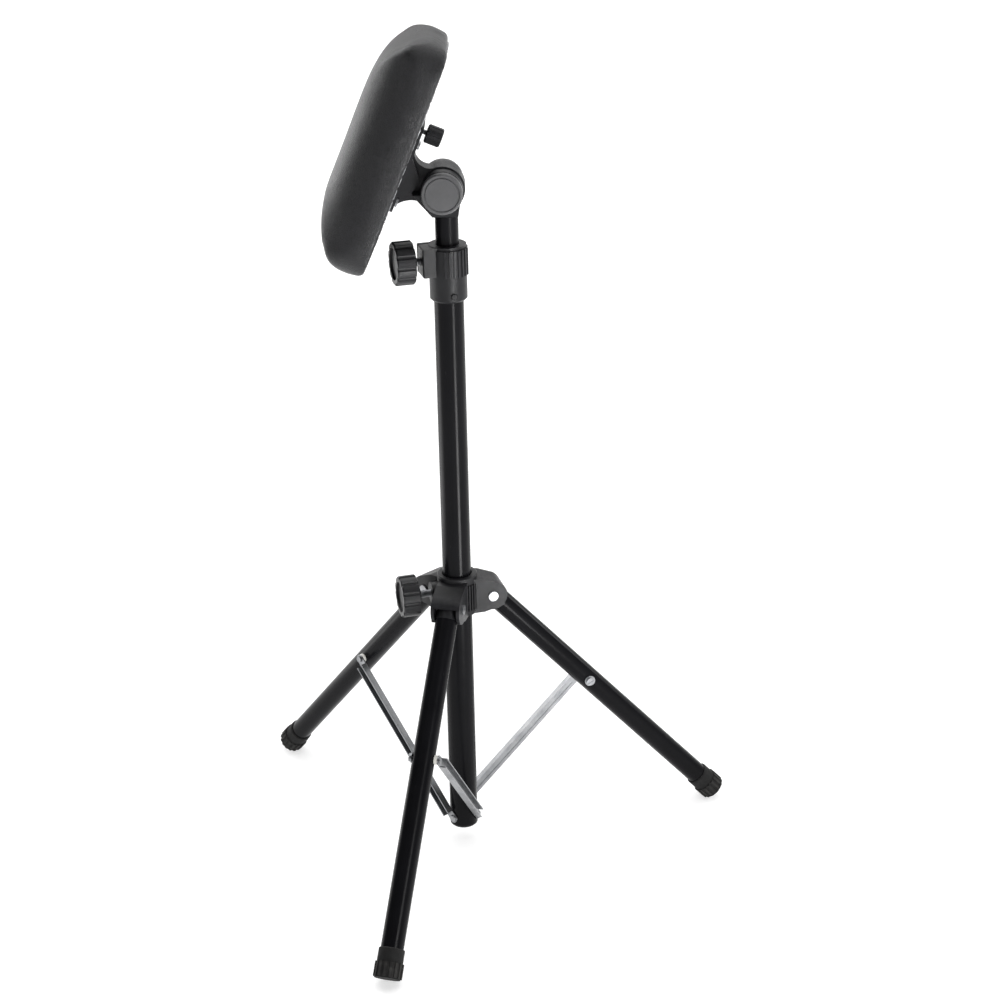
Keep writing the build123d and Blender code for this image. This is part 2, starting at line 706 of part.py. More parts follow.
# ---------------------------------------------------------------- pad
def pad_bracket():
    """Moulded bracket: round lug on the tilt bolt, waisted web and a flange under the pad."""
    top = PAD_UNDERSIDE
    seat = top - FLANGE
    gusset = [(-26, seat + 0.5), (20, seat + 0.5), (4, 24.5), (-8, 24.5)]
    with BuildPart() as piece:
        with BuildSketch(PAD_SIDE):
            Circle(LUG_R)
            with BuildLine():
                Line((FLANGE_LOW, top), (FLANGE_HIGH, top))
                Line((FLANGE_HIGH, top), (FLANGE_HIGH, seat))
                Line((FLANGE_HIGH, seat), (26, seat))
                ThreePointArc((26, seat), (15.5, 30.5), (17.5, 12.3))
                Line((17.5, 12.3), (-19, 9.8))
                ThreePointArc((-19, 9.8), (-22.5, 27), (FLANGE_LOW, seat))
                Line((FLANGE_LOW, seat), (FLANGE_LOW, top))
            make_face()
        extrude(amount=LUG_HALF, both=True)
        with BuildSketch(PAD_BASE.offset(seat)):
            with Locations(((FLANGE_LOW + FLANGE_HIGH) / 2, 0)):
                RectangleRounded(FLANGE_HIGH - FLANGE_LOW, FLANGE_WIDTH, 8)
        extrude(amount=FLANGE)
        for lateral in (-1, 1):
            with BuildSketch(PAD_SIDE.offset(lateral * 17)):
                with BuildLine():
                    Polyline(*gusset, close=True)
                make_face()
            extrude(amount=1.5, both=True)
        with BuildSketch(PAD_SIDE):
            Circle(HINGE_R + FIT)
        extrude(amount=20, both=True, mode=Mode.SUBTRACT)
        with BuildSketch(PAD_BASE):
            with Locations((KNOB_ALONG, 0)):
                Circle(HAND_SCREW_R + 0.4)
            bracket_screw_places(WOOD_SCREW_R + 0.1)
        extrude(amount=60, mode=Mode.SUBTRACT)
    return piece


def pad_outline():
    """Side outline of the pad: straight underside, sloped round ends and a low crown."""
    base = PAD_UNDERSIDE
    low_edge = (PAD_LOW + 6, base)
    low_bulge = (PAD_LOW, base + 17)
    low_shoulder = (PAD_LOW + 21, base + 47)
    crown = ((PAD_LOW + PAD_HIGH) / 2 + 12, base + PAD_THICKNESS)
    high_shoulder = (PAD_HIGH - 24, base + 48)
    high_bulge = (PAD_HIGH, base + 21)
    high_edge = (PAD_HIGH - 6, base)
    Line(high_edge, low_edge)
    Spline(low_edge, low_bulge, low_shoulder, tangents=((-1, 1.2), (1, 0.75)))
    Spline(low_shoulder, crown, high_shoulder, tangents=((1, 0.62), (1, -0.62)))
    Spline(high_shoulder, high_bulge, high_edge, tangents=((1, -0.75), (-1, -1.2)))


def pad_cushion():
    """Padding and cover as one plain loaf-shaped solid, hollowed for the board."""
    middle = (PAD_LOW + PAD_HIGH) / 2
    length = PAD_HIGH - PAD_LOW
    side = 12.0
    low_end = HINGE + PAD_ALONG * PAD_LOW + PAD_OUT * PAD_UNDERSIDE
    with BuildPart() as piece:
        with BuildSketch(PAD_SIDE):
            with BuildLine():
                pad_outline()
            make_face()
        extrude(amount=PAD_WIDTH / 2, both=True)
        with BuildSketch(PAD_BASE.offset(PAD_UNDERSIDE)):
            with Locations((middle, 0)):
                RectangleRounded(length, PAD_WIDTH, 30)
        extrude(amount=PAD_THICKNESS, mode=Mode.INTERSECT)
        with BuildSketch(Plane(origin=low_end, x_dir=(0, 1, 0), z_dir=PAD_ALONG)):
            with Locations((0, side)):
                Ellipse(PAD_WIDTH / 2, PAD_THICKNESS - side)
                with Locations((0, 12)):
                    Rectangle(PAD_WIDTH - 20, 26)
            with Locations((0, side / 2)):
                Rectangle(PAD_WIDTH, side)
            with Locations((0, -PAD_THICKNESS / 2)):
                Rectangle(2 * PAD_WIDTH, PAD_THICKNESS, mode=Mode.SUBTRACT)
        extrude(amount=length, mode=Mode.INTERSECT)
        with BuildSketch(PAD_BASE.offset(PAD_UNDERSIDE - 5)):
            with Locations((middle, 0)):
                RectangleRounded(length - 2 * BOARD_MARGIN, PAD_WIDTH - 2 * BOARD_MARGIN, BOARD_CORNER)
        extrude(amount=BOARD_THICKNESS + 5, mode=Mode.SUBTRACT)
    return piece


def board_outline():
    """Rounded rectangle of the board and of the cloth under it."""
    inset = 2 * (BOARD_MARGIN + BOARD_PLAY)
    with Locations(((PAD_LOW + PAD_HIGH) / 2, 0)):
        RectangleRounded(PAD_HIGH - PAD_LOW - inset, PAD_WIDTH - inset, BOARD_CORNER - BOARD_PLAY)


def bracket_screw_places(radius, mode=Mode.ADD):
    """One circle for each of the bracket's four screws."""
    with GridLocations(*SCREW_PITCH, 2, 2):
        with Locations((SCREW_CENTRE, 0)):
            Circle(radius, mode=mode)


def pad_board():
    """Plywood board inside the pad, with holes for the bracket's screws."""
    with BuildPart() as piece:
        with BuildSketch(PAD_BASE.offset(PAD_UNDERSIDE + CLOTH)):
            board_outline()
        extrude(amount=BOARD_THICKNESS - 1.0)
        with BuildSketch(PAD_BASE.offset(PAD_UNDERSIDE)):
            with Locations((KNOB_ALONG, 0)):
                Circle(INSERT_R)
            bracket_screw_places(WOOD_SCREW_R)
        extrude(amount=BOARD_THICKNESS - 1.0, mode=Mode.SUBTRACT)
    return piece


def pad_base_cloth():
    """Thin cloth stapled over the board's underside."""
    with BuildPart() as piece:
        with BuildSketch(PAD_BASE.offset(PAD_UNDERSIDE)):
            board_outline()
            with Locations((KNOB_ALONG, 0)):
                Circle(INSERT_R, mode=Mode.SUBTRACT)
            bracket_screw_places(WOOD_SCREW_R, Mode.SUBTRACT)
        extrude(amount=CLOTH)
    return piece


def bracket_screws():
    """Four pan-head screws through the bracket's flange into the board."""
    head = 2.2
    with BuildPart() as piece:
        with BuildSketch(PAD_BASE.offset(PAD_UNDERSIDE - FLANGE)):
            bracket_screw_places(WOOD_SCREW_R)
        extrude(amount=14.0)
        with BuildSketch(PAD_BASE.offset(PAD_UNDERSIDE - FLANGE - head)):
            bracket_screw_places(2 * WOOD_SCREW_R)
        extrude(amount=head)
    return piece


def pad_insert_nut():
    """Threaded insert in the board for the hand screw."""
    with BuildPart() as piece:
        with BuildSketch(PAD_BASE.offset(PAD_UNDERSIDE + 0.1)):
            with Locations((KNOB_ALONG, 0)):
                Circle(INSERT_R)
                Circle(HAND_SCREW_R + FIT, mode=Mode.SUBTRACT)
        extrude(amount=10.5)
    return piece


def pad_knob():
    """Small knurled knob of the pad's hand screw."""
    bottom = PAD_UNDERSIDE - 24.5
    height = 15.0
    with BuildPart() as piece:
        with BuildSketch(PAD_BASE.offset(bottom)):
            with Locations((KNOB_ALONG, 0)):
                Circle(9.0)
        extrude(amount=height)
        chamfer(piece.edges().filter_by(GeomType.CIRCLE), 1.0)
        with BuildSketch(PAD_BASE.offset(bottom)):
            with Locations((KNOB_ALONG, 0)):
                with PolarLocations(9.4, 14):
                    Circle(1.2)
        extrude(amount=height, mode=Mode.SUBTRACT)
        with BuildSketch(PAD_BASE.offset(bottom + 7)):
            with Locations((KNOB_ALONG, 0)):
                Circle(HAND_SCREW_R)
        extrude(amount=10, mode=Mode.SUBTRACT)
    return piece


def pad_knob_screw():
    """Screw moulded into the small knob, through the flange into the board's insert."""
    with BuildPart() as piece:
        with BuildSketch(PAD_BASE.offset(PAD_UNDERSIDE - 17.5)):
            with Locations((KNOB_ALONG, 0)):
                Circle(HAND_SCREW_R)
        extrude(amount=27.5)
        chamfer(piece.faces().sort_by(Axis(HINGE, PAD_OUT))[-1].edges(), 0.5)
    return piece


# ---------------------------------------------------------------- write every piece
def main():
    os.makedirs("parts", exist_ok=True)
    save(column_tube(), "column_tube")
    save(column_plug(), "column_plug")
    save(height_collar(), "height_collar")
    save(clamp_nut(COLLAR_KNOB_Z, 17.3), "collar_nut")
    save(brake_pad(COLLAR_KNOB_Z, POST_R), "collar_brake_pad")
    save(collar_rivet(), "collar_rivet")
    save(fluted_knob(COLLAR_KNOB_Z, COLLAR_KNOB_FACE, KNOB_RADIUS, 18.5), "collar_knob")
    save(clamp_stud(COLLAR_KNOB_Z, stud_tip(POST_R), COLLAR_KNOB_FACE), "collar_knob_stud")
    save(hub_spider(), "hub_spider")
    save(clamp_nut(HUB_KNOB_Z, 19.8), "hub_nut")
    save(brake_pad(HUB_KNOB_Z, MAIN_R), "hub_brake_pad")
    save(fluted_knob(HUB_KNOB_Z, HUB_KNOB_FACE, KNOB_RADIUS, 17.5), "hub_knob")
    save(clamp_stud(HUB_KNOB_Z, stud_tip(MAIN_R), HUB_KNOB_FACE), "hub_knob_stud")
    save(leg_pivot_pins(), "leg_pivot_pins")
    for name, azimuth in LEG_AZIMUTHS.items():
        save(leg_tube(azimuth), f"leg_tube_{name}")
        save(leg_top_plug(azimuth), f"leg_plug_{name}")
        save(foot_cap(azimuth), f"foot_cap_{name}")
        save(brace_screw(azimuth), f"brace_screw_{name}")
        save(brace_spacer(azimuth), f"brace_spacer_{name}")
        save(brace(azimuth), f"brace_{name}")
        save(brace_rivet(azimuth), f"brace_rivet_{name}")
    save(post_bush(), "post_bush")
    save(post_plug(), "post_plug")
    save(post_tube(), "post_tube")
    save(tilt_head(), "tilt_head")
    save(head_pin(), "head_pin")
    save(tilt_bolt(), "tilt_bolt")
    save(tilt_nut(), "tilt_nut")
    save(pivot_cap(1), "pivot_cap_near")
    save(pivot_cap(-1), "pivot_cap_far")
    save(friction_washers(), "friction_washers")
    save(pad_bracket(), "pad_bracket")
    save(pad_cushion(), "pad_cushion")
    save(pad_board(), "pad_board")
    save(pad_base_cloth(), "pad_base_cloth")
    save(bracket_screws(), "bracket_screws")
    save(pad_insert_nut(), "pad_insert_nut")
    save(pad_knob(), "pad_knob")
    save(pad_knob_screw(), "pad_knob_screw")


main()
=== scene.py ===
"""Looks of the portable arm-rest stand: materials, the padded cover, threads, staples, light and camera."""
import json
import math

import bmesh
import bpy
from mathutils import Matrix, Vector, noise


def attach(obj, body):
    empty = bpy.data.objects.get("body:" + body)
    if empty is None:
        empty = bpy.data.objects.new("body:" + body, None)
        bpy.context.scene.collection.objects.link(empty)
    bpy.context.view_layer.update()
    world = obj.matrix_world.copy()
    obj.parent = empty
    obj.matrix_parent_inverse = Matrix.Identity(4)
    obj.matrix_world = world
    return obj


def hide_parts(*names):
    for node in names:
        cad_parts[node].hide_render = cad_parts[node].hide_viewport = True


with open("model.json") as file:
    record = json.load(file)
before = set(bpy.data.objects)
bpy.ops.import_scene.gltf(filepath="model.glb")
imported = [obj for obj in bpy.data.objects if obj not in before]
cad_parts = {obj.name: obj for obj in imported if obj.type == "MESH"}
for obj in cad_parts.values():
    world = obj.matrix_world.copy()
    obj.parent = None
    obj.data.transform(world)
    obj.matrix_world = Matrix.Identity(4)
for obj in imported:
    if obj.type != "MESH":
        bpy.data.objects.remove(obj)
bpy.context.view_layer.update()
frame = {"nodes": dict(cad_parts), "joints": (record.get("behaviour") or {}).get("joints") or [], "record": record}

MM = 0.001
PAD_HALF_WIDTH = 0.06
SLOT_OF = {entry["node"]: entry["material_slot"] for entry in frame["record"]["subparts"]}


# ---------------------------------------------------------------- material helpers
class Nodes:
    """A new node material with short ways to add and link nodes."""

    def __init__(self, name):
        self.material = bpy.data.materials.new(name)
        self.material.use_nodes = True
        self.tree = self.material.node_tree
        self.shader = self.tree.nodes["Principled BSDF"]
        self.position = self.add("ShaderNodeTexCoord").outputs["Object"]

    def add(self, kind, **values):
        node = self.tree.nodes.new(kind)
        for key, value in values.items():
            setattr(node, key, value)
        return node

    def link(self, source, target):
        self.tree.links.new(source, target)

    def set(self, **values):
        """Constant values of the shader's own sockets, with underscores for spaces."""
        for key, value in values.items():
            self.shader.inputs[key.replace("_", " ")].default_value = value

    def noise(self, scale, detail=4.0, roughness=0.55, source=None):
        node = self.add("ShaderNodeTexNoise")
        node.inputs["Scale"].default_value = scale
        node.inputs["Detail"].default_value = detail
        node.inputs["Roughness"].default_value = roughness
        self.link(source or self.position, node.inputs["Vector"])
        return node.outputs["Fac"]

    def stretched(self, x, y, z):
        node = self.add("ShaderNodeMapping")
        node.inputs["Scale"].default_value = (x, y, z)
        self.link(self.position, node.inputs["Vector"])
        return node.outputs["Vector"]

    def remap(self, source, low, high, from_low=0.3, from_high=0.7):
        node = self.add("ShaderNodeMapRange")
        node.inputs["From Min"].default_value = from_low
        node.inputs["From Max"].default_value = from_high
        node.inputs["To Min"].default_value = low
        node.inputs["To Max"].default_value = high
        self.link(source, node.inputs["Value"])
        return node.outputs["Result"]

    def ramp(self, source, stops):
        node = self.add("ShaderNodeValToRGB")
        elements = node.color_ramp.elements
        while len(elements) < len(stops):
            elements.new(0.5)
        for element, (place, colour) in zip(elements, stops):
            element.position = place
            element.color = (*colour, 1)
        self.link(source, node.inputs["Fac"])
        return node.outputs["Color"]

    def bump(self, source, strength, distance, normal=None):
        node = self.add("ShaderNodeBump")
        node.inputs["Strength"].default_value = strength
        node.inputs["Distance"].default_value = distance
        self.link(source, node.inputs["Height"])
        if normal:
            self.link(normal, node.inputs["Normal"])
        return node.outputs["Normal"]

    def mix(self, fac, a, b):
        """Colour between two sockets by a third."""
        node = self.add("ShaderNodeMix", data_type="RGBA")
        self.link(fac, node.inputs["Factor"])
        self.link(a, node.inputs["A"])
        self.link(b, node.inputs["B"])
        return node.outputs["Result"]

    def multiply(self, a, b):
        node = self.add("ShaderNodeMath", operation="MULTIPLY")
        self.link(a, node.inputs[0])
        self.link(b, node.inputs[1])
        return node.outputs[0]

    def edges(self, low=0.52, high=0.6):
        """0 on flat surfaces to 1 on worn convex edges."""
        pointy = self.add("ShaderNodeNewGeometry").outputs["Pointiness"]
        return self.remap(pointy, 0.0, 1.0, low, high)


def grey(value, warmth=0.0):
    return (value * (1 + warmth), value, value * (1 - warmth))


# ---------------------------------------------------------------- materials
def powder_coat():
    """Gloss black powder coat: fine orange peel, soft cloudiness and rubbed edges."""
    m = Nodes("powder_coat")
    base = m.ramp(m.noise(18, 3), [(0.3, (0.0042, 0.0042, 0.0050)), (0.7, (0.0062, 0.0062, 0.0074))])
    rubbed = m.remap(m.noise(420, 4, source=m.stretched(1, 1, 0.25)), 0.0, 0.5, 0.70, 0.78)
    dust = m.ramp(m.noise(300), [(0.3, grey(0.02)), (0.7, grey(0.035))])
    m.link(m.mix(rubbed, base, dust), m.shader.inputs["Base Color"])
    m.link(m.remap(m.noise(60, 4), 0.2, 0.27), m.shader.inputs["Roughness"])
    peel = m.bump(m.noise(750, 2), 0.1, 0.0003)
    m.link(m.bump(m.noise(2600, 2), 0.05, 0.0002, peel), m.shader.inputs["Normal"])
    m.set(Specular_IOR_Level=0.085)
    return m.material


def moulded_plastic(name, dark, light, rough_low, rough_high, grain=0.22):
    """Moulded plastic: spark-eroded grain, faint flow marks and slightly polished edges."""
    m = Nodes(name)
    base = m.ramp(m.noise(40, 4), [(0.3, dark), (0.7, light)])
    rubbed = m.multiply(m.edges(0.58, 0.72), m.remap(m.noise(220, 3), 0.1, 0.7))
    lit = m.ramp(m.noise(90), [(0.3, tuple(2.5 * v for v in light)), (0.7, tuple(3.6 * v for v in light))])
    m.link(m.mix(rubbed, base, lit), m.shader.inputs["Base Color"])
    m.link(m.remap(m.noise(60, 4), rough_low, rough_high), m.shader.inputs["Roughness"])
    cells = m.add("ShaderNodeTexVoronoi")
    cells.inputs["Scale"].default_value = 2300
    m.link(m.position, cells.inputs["Vector"])
    fine = m.bump(cells.outputs["Distance"], grain, 0.00025)
    m.link(m.bump(m.noise(500, 3), 0.08, 0.0003, fine), m.shader.inputs["Normal"])
    m.set(Specular_IOR_Level=0.24)
    return m.material


def leatherette():
    """Black leatherette: pebbled grain of two sizes, creases, a soft sheen and handling marks; painted shade
    darkens the grooves between the pebbles.
    """
    m = Nodes("leatherette")
    large = m.add("ShaderNodeTexVoronoi", feature="DISTANCE_TO_EDGE")
    large.inputs["Scale"].default_value = 620
    warped = m.add("ShaderNodeVectorMath", operation="ADD")
    drift = m.add("ShaderNodeTexNoise")
    drift.inputs["Scale"].default_value = 260
    small_drift = m.add("ShaderNodeVectorMath", operation="SCALE")
    small_drift.inputs["Scale"].default_value = 0.0016
    m.link(m.position, drift.inputs["Vector"])
    m.link(drift.outputs["Color"], small_drift.inputs[0])
    m.link(m.position, warped.inputs[0])
    m.link(small_drift.outputs["Vector"], warped.inputs[1])
    m.link(warped.outputs["Vector"], large.inputs["Vector"])
    pebble = m.remap(large.outputs["Distance"], 0.0, 1.0, 0.0, 0.16)
    base = m.ramp(m.noise(14, 4), [(0.3, (0.0135, 0.0135, 0.0155)), (0.7, (0.0185, 0.0185, 0.021))])
    # painted shade: a darker colour laid into the grooves between the pebbles, where shade would fall
    groove_shade = m.ramp(m.noise(30), [(0.3, grey(0.008)), (0.7, grey(0.011))])
    m.link(m.mix(pebble, groove_shade, base), m.shader.inputs["Base Color"])
    m.link(m.remap(m.noise(22, 5), 0.31, 0.42), m.shader.inputs["Roughness"])
    fine = m.bump(m.noise(3000, 2), 0.12, 0.0002)
    grain = m.bump(pebble, 0.45, 0.00035, fine)
    m.link(m.bump(m.noise(120, 4), 0.12, 0.0012, grain), m.shader.inputs["Normal"])
    m.set(Specular_IOR_Level=0.3, Sheen_Weight=0.03, Sheen_Roughness=0.4)
    return m.material


def zinc_steel():
    """Bright zinc-plated steel: drawn streaks, cloudy plating and a few dull spots."""
    m = Nodes("zinc_steel")
    base = m.ramp(m.noise(70, 5), [(0.3, (0.22, 0.225, 0.235)), (0.7, (0.34, 0.345, 0.355))])
    spots = m.remap(m.noise(240, 3), 0.0, 0.6, 0.62, 0.74)
    dull = m.ramp(m.noise(400), [(0.3, grey(0.14, 0.03)), (0.7, grey(0.2, 0.03))])
    m.link(m.mix(spots, base, dull), m.shader.inputs["Base Color"])
    streak = m.noise(30, 3, source=m.stretched(60, 60, 4))
    m.link(m.remap(streak, 0.3, 0.46), m.shader.inputs["Roughness"])
    m.link(m.bump(m.noise(900, 3), 0.08, 0.0002), m.shader.inputs["Normal"])
    m.set(Metallic=1.0)
    return m.material


def rubber():
    """Matt black rubber with dust in its pores and scuffed edges."""
    m = Nodes("rubber")
    base = m.ramp(m.noise(60, 4), [(0.3, grey(0.008)), (0.7, grey(0.014))])
    dust = m.multiply(m.edges(0.51, 0.6), m.remap(m.noise(140, 4), 0.1, 0.9))
    pale = m.ramp(m.noise(200), [(0.3, grey(0.03, 0.04)), (0.7, grey(0.05, 0.04))])
    m.link(m.mix(dust, base, pale), m.shader.inputs["Base Color"])
    m.link(m.remap(m.noise(110, 4), 0.62, 0.85), m.shader.inputs["Roughness"])
    m.link(m.bump(m.noise(1500, 4), 0.3, 0.0003), m.shader.inputs["Normal"])
    m.set(Specular_IOR_Level=0.22)
    return m.material


def nylon(name="nylon", low=(0.6, 0.59, 0.55), high=(0.74, 0.73, 0.69)):
    """Natural nylon, or with other colours a pressed fibre washer."""
    m = Nodes(name)
    m.link(m.ramp(m.noise(90, 4), [(0.3, low), (0.7, high)]), m.shader.inputs["Base Color"])
    m.link(m.remap(m.noise(80, 3), 0.38, 0.55), m.shader.inputs["Roughness"])
    m.link(m.bump(m.noise(1200, 3), 0.12, 0.0002), m.shader.inputs["Normal"])
    m.set(Subsurface_Weight=0.08, Subsurface_Radius=(0.002, 0.002, 0.0018))
    return m.material


def plywood():
    """Plywood: glued plies seen at the edge, with a fine grain."""
    m = Nodes("plywood")
    grain = m.noise(25, 6, source=m.stretched(3, 40, 40))
    colour = m.ramp(grain, [(0.3, (0.36, 0.23, 0.12)), (0.7, (0.60, 0.44, 0.27))])
    m.link(colour, m.shader.inputs["Base Color"])
    m.link(m.remap(grain, 0.6, 0.8), m.shader.inputs["Roughness"])
    m.link(m.bump(grain, 0.3, 0.0004), m.shader.inputs["Normal"])
    return m.material


def base_cloth():
    """Black non-woven cloth: matted fibres pressed with small dots."""
    m = Nodes("base_cloth")
    fibres = m.noise(900, 5, source=m.stretched(1, 2.6, 1))
    dots = m.add("ShaderNodeTexVoronoi")
    dots.inputs["Scale"].default_value = 520
    dots.inputs["Randomness"].default_value = 0.15
    m.link(m.position, dots.inputs["Vector"])
    m.link(m.ramp(fibres, [(0.3, grey(0.012)), (0.7, grey(0.035))]), m.shader.inputs["Base Color"])
    m.link(m.remap(fibres, 0.8, 0.95), m.shader.inputs["Roughness"])
    rough = m.bump(fibres, 0.4, 0.0003)
    m.link(m.bump(dots.outputs["Distance"], 0.4, 0.0003, rough), m.shader.inputs["Normal"])
    m.set(Sheen_Weight=0.2, Specular_IOR_Level=0.2)
    return m.material


MATERIALS = {
    "powder_coat": powder_coat(),
    "black_plastic": moulded_plastic(
        "black_plastic", (0.0075, 0.0075, 0.0085), (0.0125, 0.0125, 0.014), 0.32, 0.45
    ),
    "satin_cap": moulded_plastic("satin_cap", (0.07, 0.07, 0.0725), (0.095, 0.095, 0.098), 0.3, 0.42, 0.1),
    "leatherette": leatherette(),
    "plywood": plywood(),
    "base_cloth": base_cloth(),
    "rubber": rubber(),
    "nylon": nylon(),
    "fibre": nylon("fibre", (0.17, 0.06, 0.03), (0.26, 0.10, 0.05)),
    "zinc_steel": zinc_steel(),
}


def dress_cad_nodes():
    """Give every carried-over CAD node the material of its slot."""
    for name, piece in frame["nodes"].items():
        material = MATERIALS[SLOT_OF[name]]
        piece.data.materials.clear()
        piece.data.materials.append(material)


# ---------------------------------------------------------------- mesh helpers
def add_mesh(name, vertices, faces, material, smooth=True):
    mesh = bpy.data.meshes.new(name)
    mesh.from_pydata([tuple(v) for v in vertices], [], faces)
    mesh.update()
    for polygon in mesh.polygons:
        polygon.use_smooth = smooth
    mesh.materials.append(material)
    piece = bpy.data.objects.new(name, mesh)
    bpy.context.scene.collection.objects.link(piece)
    return piece


def only(piece):
    """Select one object and make it active, for operators."""
    bpy.ops.object.select_all(action="DESELECT")
    piece.select_set(True)
    bpy.context.view_layer.objects.active = piece


def apply(piece, modifier):
    only(piece)
    bpy.ops.object.modifier_apply(modifier=modifier.name)


def joint(name):
    return next(j for j in frame["joints"] if j["name"] == name)


# ---------------------------------------------------------------- pad
PAD_HINGE = Vector(joint("pad_tilt")["pos_m"])
PAD_OUT = Vector(joint("pad_knob_turn")["axis"]).normalized()
PAD_ALONG = Vector((0, 1, 0)).cross(PAD_OUT).normalized()


def pad_place(point):
    """(along, across, out) of a point from the tilt hinge."""
    offset = Vector(point) - PAD_HINGE
    return offset.dot(PAD_ALONG), offset.y, offset.dot(PAD_OUT)


def pad_point(along, across, out):
    return PAD_HINGE + PAD_ALONG * along + Vector((0, across, 0)) + PAD_OUT * out


def pad_cover():
    """The stuffed cover: the cushion's solid, remeshed, swollen as cloth, creased and subdivided."""
    source = frame["nodes"]["pad_cushion"]
    cover = bpy.data.objects.new("pad_cover", source.data.copy())
    bpy.context.scene.collection.objects.link(cover)
    cover.data.materials.clear()
    cover.data.materials.append(MATERIALS["leatherette"])
    remesh = cover.modifiers.new("remesh", "REMESH")
    remesh.mode = "VOXEL"
    remesh.voxel_size = 0.0032
    apply(cover, remesh)
    underside = min(pad_place(v.co)[2] for v in cover.data.vertices)
    soften(cover, underside)
    rest = [v.co.copy() for v in cover.data.vertices]
    swell(cover, underside)
    crease(cover, underside, rest)
    for polygon in cover.data.polygons:
        polygon.use_smooth = True
    rounder = cover.modifiers.new("round", "SUBSURF")
    rounder.levels = 1
    rounder.render_levels = 1
    apply(cover, rounder)
    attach(cover, "pad")
    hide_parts("pad_cushion")
    return cover


def soften(cover, underside):
    """Round the cushion's corners as thick foam would, and give back what the rounding takes away."""
    rounds = 14
    shape = bmesh.new()
    shape.from_mesh(cover.data)
    shape.normal_update()
    free = [v for v in shape.verts if pad_place(v.co)[2] > underside + 0.005]
    before = {v: v.co.copy() for v in free}
    for step in range(rounds):
        bmesh.ops.smooth_vert(shape, verts=free, factor=0.5, use_axis_x=True, use_axis_y=True, use_axis_z=True)
    loss = {v: before[v] - v.co for v in free}
    for step in range(rounds):
        loss = {v: mean([loss[w] for w in ring_of(v) if w in loss]) for v in free}
    for v in free:
        v.co += loss[v] * 0.9
    shape.to_mesh(cover.data)
    shape.free()


def mean(vectors):
    return sum(vectors, Vector()) / len(vectors)


def ring_of(vertex):
    """A vertex and its neighbours."""
    return [vertex] + [edge.other_vert(vertex) for edge in vertex.link_edges]


def swell(cover, underside):
    """Cloth simulation with a little pressure, pinned on the stapled underside."""
    pins = cover.vertex_groups.new(name="pins")
    for v in cover.data.vertices:
        if pad_place(v.co)[2] < underside + 0.006:
            pins.add([v.index], 1.0, "REPLACE")
    start = [v.co.copy() for v in cover.data.vertices]
    cloth = cover.modifiers.new("cloth", "CLOTH")
    settings = cloth.settings
    settings.quality = 4
    settings.mass = 0.3
    settings.tension_stiffness = 40
    settings.compression_stiffness = 40
    settings.shear_stiffness = 20
    settings.bending_stiffness = 1.5
    settings.use_pressure = True
    settings.uniform_pressure_force = 3.0
    settings.effector_weights.gravity = 0
    settings.vertex_group_mass = "pins"
    cloth.collision_settings.use_self_collision = False
    scene = bpy.context.scene
    scene.frame_start = 1
    scene.frame_end = 14
    for step in range(1, 15):
        scene.frame_set(step)
    apply(cover, cloth)
    scene.frame_set(1)
    most = 0.003
    for v, at in zip(cover.data.vertices, start):
        move = v.co - at
        if move.length > most:
            v.co = at + move * (most / move.length)


def crease(cover, underside, rest):
    """Pull wrinkles where the cover is drawn round the board, and slight unevenness of the foam.

    Rest is where each vertex was before the cover swelled.
    """
    for v, at in zip(cover.data.vertices, rest):
        along, across, out = pad_place(at)
        height = out - underside
        side = abs(across) / PAD_HALF_WIDTH
        near_edge = math.exp(-((height - 0.010) / 0.009) ** 2)
        run = along if side > 0.8 else across
        ripple = noise.noise(Vector((run * 95, 7.3 * (1 if across > 0 else -1), height * 22)))
        ripple += 0.5 * noise.noise(Vector((run * 210, 3.1, height * 40)))
        uneven = noise.noise(Vector(at) * 22)
        inward = Vector((0, math.copysign(1, -across), 0)) if side > 0.8 else -v.normal
        v.co += inward * (0.0011 * near_edge * max(ripple, -0.2)) - v.normal * 0.0004 * uneven


def staples():
    """Staples through the cover's turned-in margin round the cloth under the pad."""
    places = [pad_place(v.co) for v in frame["nodes"]["pad_base_cloth"].data.vertices]
    low = [min(p[i] for p in places) for i in range(3)]
    high = [max(p[i] for p in places) for i in range(3)]
    below = low[2]
    margin = 5.5 * MM
    corners = 24 * MM
    marks = []
    count_long, count_short = 13, 4
    for i in range(count_long):
        t = (i + 0.5) / count_long
        along = low[0] + corners + t * (high[0] - low[0] - 2 * corners)
        for across in (low[1] - margin, high[1] + margin):
            marks.append((along, across, 0.0))
    for i in range(count_short):
        t = (i + 0.5) / count_short
        across = low[1] + corners + t * (high[1] - low[1] - 2 * corners)
        for along in (low[0] - margin, high[0] + margin):
            marks.append((along, across, math.pi / 2))
    vertices, faces = [], []
    for index, (along, across, turn) in enumerate(marks):
        turn += 0.22 * math.sin(index * 2.4)
        add_staple(vertices, faces, along, across, turn, below)
    piece = add_mesh("pad_staples", vertices, faces, MATERIALS["zinc_steel"])
    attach(piece, "pad")


